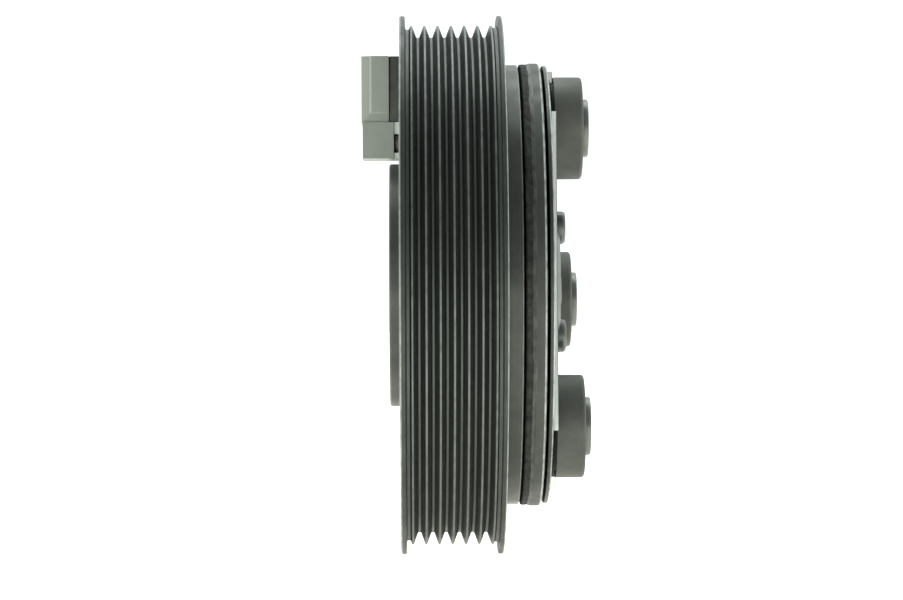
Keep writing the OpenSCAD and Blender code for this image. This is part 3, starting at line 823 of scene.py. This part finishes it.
def make_hub_rivet(rear, seat, centre):
    """A rivet with a flat tail behind the disc and a domed head on the flange."""
    tail, head = 1.2, 2.7
    return lathe("rivet", rounded([
        (rear - tail, 0, 0),
        (rear - tail, 3.6, 0.4),
        (rear, 3.6, 0.1),
        (rear, 2.6, 0),
        (seat, 2.6, 0),
        (seat, 4.4, 0.15),
        (seat + head, 4.4, 1.0),
        (seat + head, 1.6, 0.2),
        (seat + head - 0.25, 1.3, 0.2),
        (seat + head - 0.25, 0, 0),
    ]), segments=96, centre=centre)


def make_damper(i):
    """A pressed cup over a rubber ring, held by a headed pin."""
    centre = centre_of(f"damper_cup_{i}")
    cup = Extent(f"damper_cup_{i}", centre)
    pin = Extent(f"damper_pin_{i}", centre)
    rubber = Extent(f"damper_rubber_{i}", centre)
    wall = 1.5
    cup_corners = [
        (cup.rear, cup.radius - wall, 0.2),
        (cup.rear, cup.radius, 0.25),
        (cup.front, cup.radius, 0.9),
        (cup.front, cup.hole, 0),
        (cup.front - wall, cup.hole, 0),
        (cup.front - wall, cup.radius - wall, 0.8),
    ]
    look = turned_steel(f"cup_steel_{i}", rgb(.08, .086, .078), rgb(.13, .136, .123), 0.46, 0.64,
                        centre=centre, marks=2600, metallic=0.7)
    look.set("Specular IOR Level", 0.25)
    stand_for(lathe("cup", rounded(cup_corners, steps=8), centre=centre), f"damper_cup_{i}",
              look)
    tail = 1.4
    dimple = 1.3
    pin_corners = [
        (pin.rear, 0, 0),
        (pin.rear, 5.4, 0.2),
        (pin.rear + tail, 5.4, 0),
        (pin.rear + tail, cup.hole, 0),
        (cup.front, cup.hole, 0),
        (cup.front, pin.radius, 0.1),
        (pin.front, pin.radius, 0.45),
        (pin.front, dimple, 0.1),
        (pin.front - 0.9, 0, 0),
    ]
    look = turned_steel(f"pin_steel_{i}", rgb(.13, .14, .13), rgb(.21, .22, .205), 0.32, 0.46, centre=centre)
    stand_for(lathe("pin", rounded(pin_corners), centre=centre), f"damper_pin_{i}", look)
    ring = rubber.radius - 0.9
    rubber_corners = [
        (rubber.rear, rubber.hole, 0.2),
        (rubber.rear, rubber.radius, 0.1),
        (rubber.rear + 0.3, rubber.radius, 0.12),
        (rubber.rear + 0.5, ring, 0.15),
        (rubber.front, ring, 1.4),
        (rubber.front, rubber.hole, 0.3),
    ]
    piece = lathe("rubber", rounded(rubber_corners), centre=centre)
    stand_for(piece, f"damper_rubber_{i}")
    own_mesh(piece)


# ---------------------------------------------------------------- field coil and connector

def make_mounting_plate():
    """A pressed plate with a raised seat round its hole."""
    plate = Extent("mounting_plate")
    boss_height = 2.8
    boss = 32.7
    corners = [
        (plate.rear, plate.hole, 0.4),
        (plate.rear, boss, 0.6),
        (plate.rear + boss_height, boss, 0.5),
        (plate.rear + boss_height, plate.radius, 0.35),
        (plate.front, plate.radius, 0.35),
        (plate.front, plate.hole, 0.3),
    ]
    piece = lathe("plate", rounded(corners), segments=384)
    holes = [rod(plate.rear - 1, plate.rear + 3.6, 2.1, (0, -28.4)),
             rod(boss_height - 1, plate.front + 1, 2.45, centre_of("lead_grommet"))]
    for i in range(6):
        angle = math.radians(60 * i)
        rivet = (45 * math.cos(angle), 45 * math.sin(angle))
        holes.append(rod(boss_height - 1, boss_height + 1, 3.25, rivet))
        holes.append(rod(boss_height - 1, plate.front + 1, 2.0, rivet))
    cut(piece, holes)
    stand_for(piece, "mounting_plate")


def make_connector():
    """A moulded housing: a shroud that opens upwards, with a raised panel on each side, on a lower block."""
    low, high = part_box("connector_housing")
    low, high = low / MM, high / MM
    rear, front = low.x, high.x
    block_top = low.z + 9.8
    block_half = 8.5
    shroud_half = 8.0
    panel_half = high.y
    block_front = 1.3
    wall = 1.1
    blade_apart, blade_half = 3.4, 1.4
    key_half_length, key_depth = 0.7, 0.5
    housing = shroud_solid(rear, shroud_half, block_top - 0.5, high.z)
    panel_foot = block_top + 2.2
    panel_rear = rear + 2.2
    panels = []
    for side in (-1, 1):
        inner, outer = side * (shroud_half - 1), side * panel_half
        panels.append(sloped_panel(panel_rear, 0, inner, outer, panel_foot, high.z))
    lower = block((rear + 0.3, -block_half, low.z), (block_front, block_half, block_top))
    foot = block((1.0, 0.5 - block_half, low.z), (front, block_half, block_top))
    weld(housing, [lower, foot, *panels])
    bevel(housing, 0.3)
    plug = Extent("lead_grommet", centre_of("lead_grommet"))
    notch = plug.radius + 0.08
    socket = block((rear + wall, -shroud_half + wall, block_top + 3.3),
                   (-wall, shroud_half - wall, high.z + 1))
    bevel(socket, 0.6)
    side_notch = block((block_front, -block_half - 1, plug.centre[1] - notch),
                       (front + 1, plug.centre[0], plug.centre[1] + notch))
    holes = [socket, rod(block_front, front + 1, notch, plug.centre), side_notch]
    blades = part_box("connector_terminals")
    blade_rear, blade_front = blades[0].x / MM, blades[1].x / MM
    for side in (-1, 1):
        centre = side * blade_apart
        holes.append(block((blade_rear, centre - blade_half, low.z + 2.5),
                           (blade_front, centre + blade_half, block_top + 4)))
        key = side * (shroud_half - wall)
        holes.append(block((rear / 2 - key_half_length, key - key_depth, block_top + 6),
                           (rear / 2 + key_half_length, key + key_depth, high.z + 1)))
    cut(housing, holes)
    stand_for(housing, "connector_housing")
    soften("connector_terminals", 0.15)
    soften("connector_bracket", 0.3)


def sloped_panel(rear, front, inner, outer, foot, top):
    """A raised panel whose rear and lower sides slope, so that they catch the light."""
    slope = 0.5
    near = outer - math.copysign(slope, outer)
    points = []
    for y, back, low in ((inner, rear, foot), (near, rear, foot), (outer, rear + slope, foot + slope)):
        points += [(back, y, low), (front, y, low), (front, y, top), (back, y, top)]
    return convex(points)


def shroud_solid(rear, half, low, high):
    """The shroud's outside. Its two rear edges are cut back at a slant."""
    slant_x, slant_y = 1.9, 0.7
    corners = []
    for side in (-1, 1):
        corners += [(rear, side * (half - slant_y)), (rear + slant_x, side * half), (0, side * half)]
    return convex([(x, y, z) for x, y in corners for z in (low, high)])


def make_grommet():
    """A domed rubber plug with a lip where it leaves the block, pierced by the two leads."""
    centre = centre_of("lead_grommet")
    plug = Extent("lead_grommet", centre)
    dome = 1.2
    steps = 8
    corners = [(plug.rear + dome * (1 - math.cos(math.pi / 2 * k / steps)),
                plug.radius * math.sin(math.pi / 2 * k / steps), 0) for k in range(steps + 1)]
    corners += [
        (plug.rear + 2.2, plug.radius, 0.1),
        (plug.rear + 2.3, plug.radius - 0.15, 0.1),
        (plug.front, plug.radius - 0.15, 0.2),
        (plug.front, 0, 0),
    ]
    stand_for(lathe("grommet", rounded(corners), segments=96, centre=centre), "lead_grommet")


# ---------------------------------------------------------------- stage

def make_stage():
    """A pale floor and soft light all round, brighter from above and behind than from the camera's side."""
    floor_low = cad_low.z
    data = bmesh.new()
    bmesh.ops.create_grid(data, x_segments=2, y_segments=2, size=6)
    floor = new_object("floor", data)
    floor.location = (0, 0, floor_low)
    material = bpy.data.materials.new("floor")
    material.use_nodes = True
    tree = material.node_tree
    shader = tree.nodes["Principled BSDF"]
    shader.inputs["Base Color"].default_value = rgb(.8, .8, .79)
    shader.inputs["Roughness"].default_value = 0.9
    shader.inputs["Emission Color"].default_value = rgb(1, .985, .88)
    shader.inputs["Emission Strength"].default_value = 1.1
    floor.data.materials.append(material)

    world = bpy.data.worlds.new("studio")
    bpy.context.scene.world = world
    world.use_nodes = True
    tree = world.node_tree
    background = tree.nodes["Background"]
    coordinates = tree.nodes.new("ShaderNodeTexCoord")
    split = tree.nodes.new("ShaderNodeSeparateXYZ")
    tree.links.new(coordinates.outputs["Generated"], split.inputs[0])
    sideways = tree.nodes.new("ShaderNodeMath")
    sideways.operation = "ABSOLUTE"
    tree.links.new(split.outputs[0], sideways.inputs[0])
    away = tree.nodes.new("ShaderNodeMath")
    away.operation = "MULTIPLY_ADD"
    tree.links.new(sideways.outputs[0], away.inputs[0])
    away.inputs[1].default_value = 0.9
    tree.links.new(split.outputs[1], away.inputs[2])
    strength = tree.nodes.new("ShaderNodeMapRange")
    strength.interpolation_type = "SMOOTHSTEP"
    tree.links.new(away.outputs[0], strength.inputs["Value"])
    strength.inputs["From Min"].default_value = 0.1
    strength.inputs["From Max"].default_value = 0.95
    strength.inputs["To Min"].default_value = 0.5
    strength.inputs["To Max"].default_value = 1.3
    tree.links.new(strength.outputs[0], background.inputs["Strength"])
    background.inputs["Color"].default_value = rgb(.95, 1.0, .985)

    light = bpy.data.lights.new("top_softbox", "AREA")
    light.shape = "RECTANGLE"
    light.size = 0.9
    light.size_y = 0.5
    light.energy = 3
    light.color = (0.96, 1.0, 0.98)
    lamp = bpy.data.objects.new("top_softbox", light)
    lamp.location = (0.05, 0.25, 0.75)
    lamp.rotation_euler = (math.radians(-18), 0, 0)
    bpy.context.scene.collection.objects.link(lamp)


bpy.context.scene.view_settings.view_transform = "Standard"

make_pulley_rim()
make_rotor_body()
make_armature_plate()
make_hub_disc()
make_spider_plate()
make_hub()
for i in CUPS:
    make_damper(i)
make_mounting_plate()
make_connector()
make_grommet()
for node in ("coil_shell", "coil_bobbin", "plate_rivets", "bearing_snap_ring", "bearing_seal_rear",
             "bearing_seal_front", "friction_ring", "shims", "coil_potting"):
    soften(node, 0.15)
for node in NODES.values():
    if not node.hide_render:
        paint(node, LOOKS[SLOT_OF[node["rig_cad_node"]]])
make_stage()
